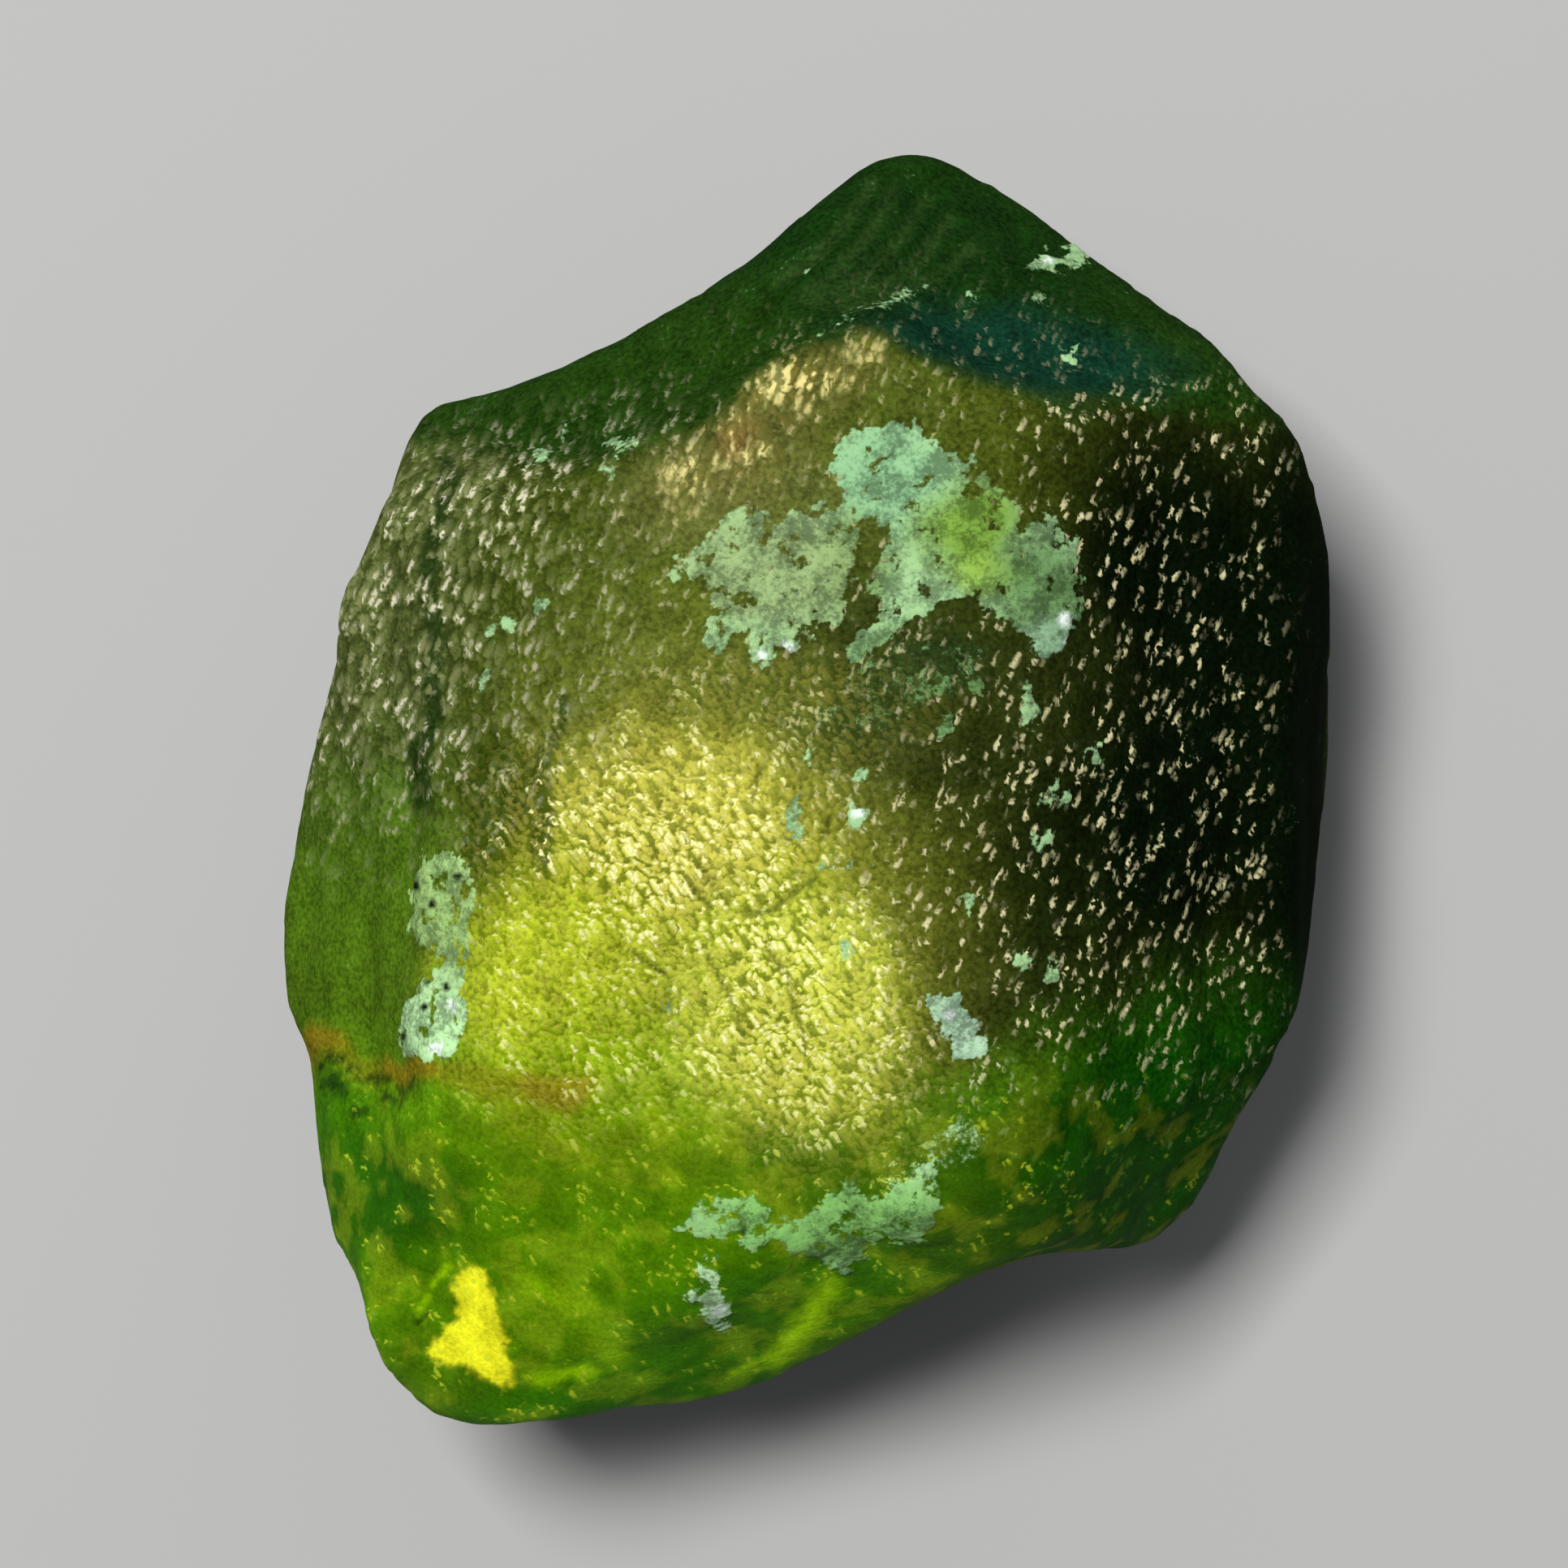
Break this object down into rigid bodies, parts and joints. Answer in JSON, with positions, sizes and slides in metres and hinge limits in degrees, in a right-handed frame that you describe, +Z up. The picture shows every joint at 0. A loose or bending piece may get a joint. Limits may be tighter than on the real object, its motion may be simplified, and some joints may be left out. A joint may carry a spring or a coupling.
{
  "type": "peridot crystal",
  "caption": "Rough peridot crystal, a worn olive-green stubby prism with a blunt wedge tip, grooved sides and pale crust patches, lying on a flat back face.",
  "frame": {"origin": "on the resting plane, under the middle of the stone's bounding box", "axes": "+Y runs along the crystal's long axis to its tip, +X across it, and +Z up out of the front face"},
  "size_m": [0.0184, 0.022, 0.0123],
  "materials": {
    "peridot": "naturally frosted, olive to yellow-green, with pale mint crust patches"
  },
  "bodies": {
    "root": {"peridot_crystal": "peridot"}
  },
  "joints": []
}
